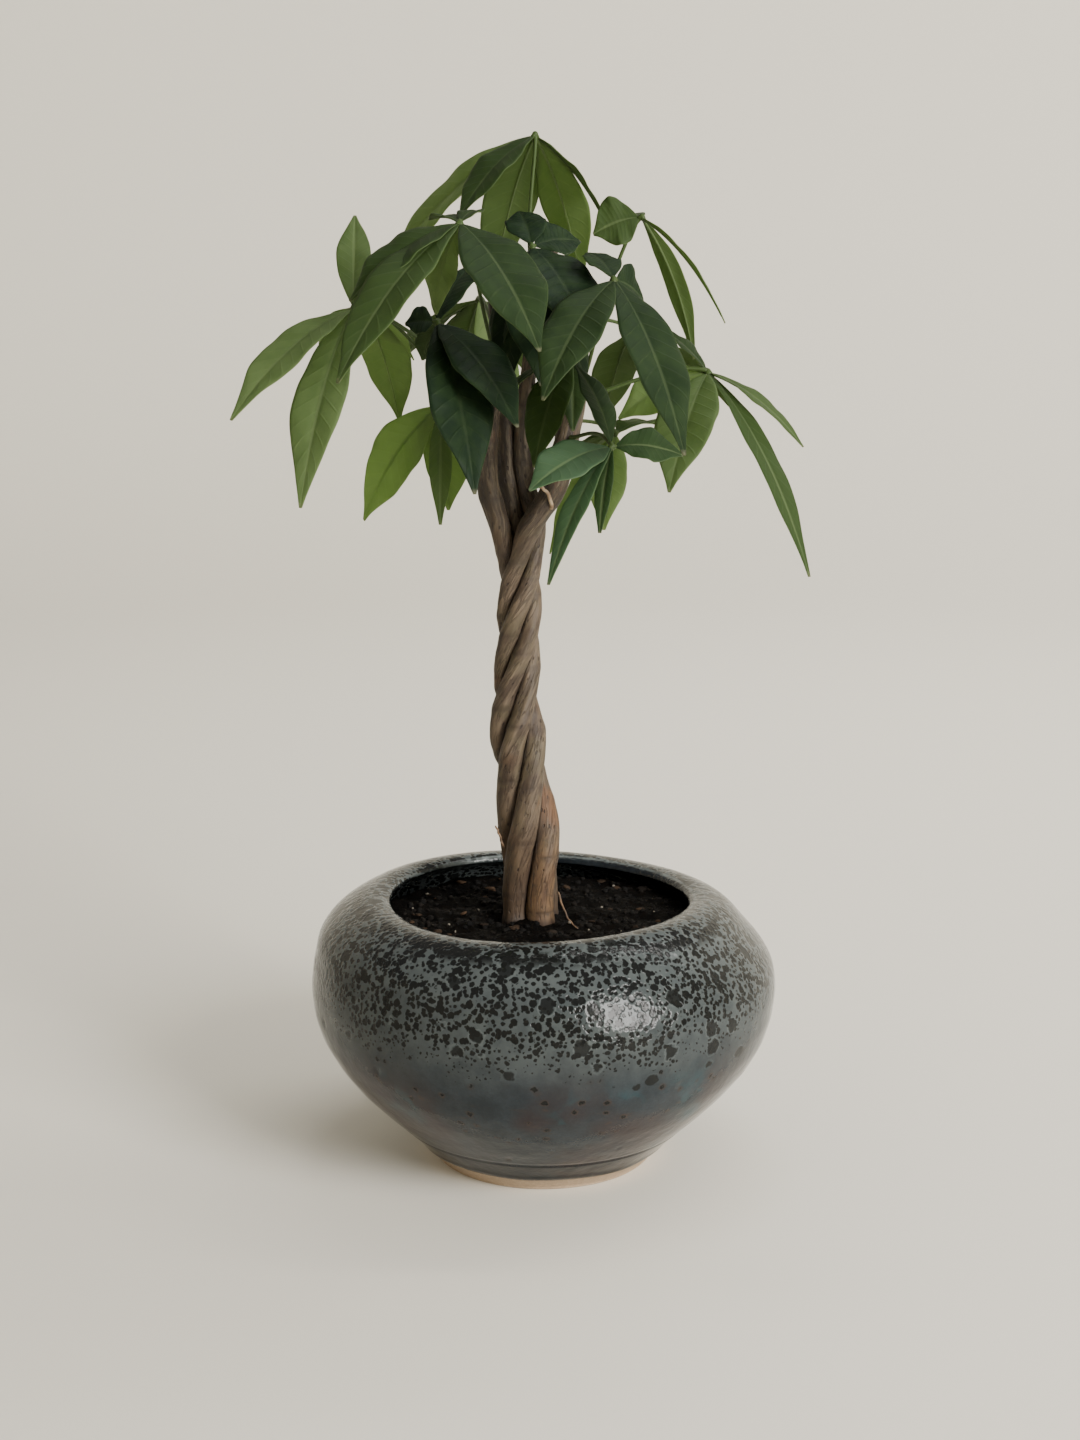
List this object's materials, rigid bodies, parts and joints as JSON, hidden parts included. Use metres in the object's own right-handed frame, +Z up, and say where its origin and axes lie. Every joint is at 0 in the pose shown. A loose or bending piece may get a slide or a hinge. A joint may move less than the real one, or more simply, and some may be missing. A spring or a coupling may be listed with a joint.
{
  "type": "potted money tree",
  "caption": "Small braided money tree with drooping palmate leaves, planted in a round hand-thrown stoneware bowl with a speckled glaze.",
  "frame": {"origin": "centre of the bowl's flat base, on the surface it stands on", "axes": "+Z up along the trunk, -Y towards the side that is seen first, +X to that viewer's right"},
  "size_m": [0.1605, 0.151, 0.3097],
  "materials": {
    "glazed_stoneware": "glossy blue-grey stoneware glaze with dark speckles, bare clay at the foot",
    "potting_soil": "damp dark potting soil with perlite",
    "bark": "grey-brown smooth young bark",
    "leaf_dark": "satin leaf, dark green",
    "leaf_mid": "satin leaf, mid green",
    "leaf_fresh": "satin leaf, fresh green"
  },
  "bodies": {
    "root": {"bowl": "glazed_stoneware", "soil": "potting_soil", "stem_left": "bark", "stem_left_inner": "bark", "stem_middle": "bark", "stem_right": "bark", "leaf_top": "leaf_mid", "leaf_front_left": "leaf_mid", "leaf_far_left": "leaf_fresh", "leaf_shaded_left": "leaf_dark", "leaf_low_left": "leaf_fresh", "leaf_mid_left": "leaf_fresh", "leaf_centre": "leaf_dark", "leaf_front_right": "leaf_mid", "leaf_high_right": "leaf_mid", "leaf_far_right": "leaf_fresh", "leaf_low_right": "leaf_dark", "leaf_low_back": "leaf_fresh", "leaf_inner": "leaf_mid", "leaf_back_left": "leaf_fresh", "leaf_back_right": "leaf_mid"}
  },
  "joints": []
}
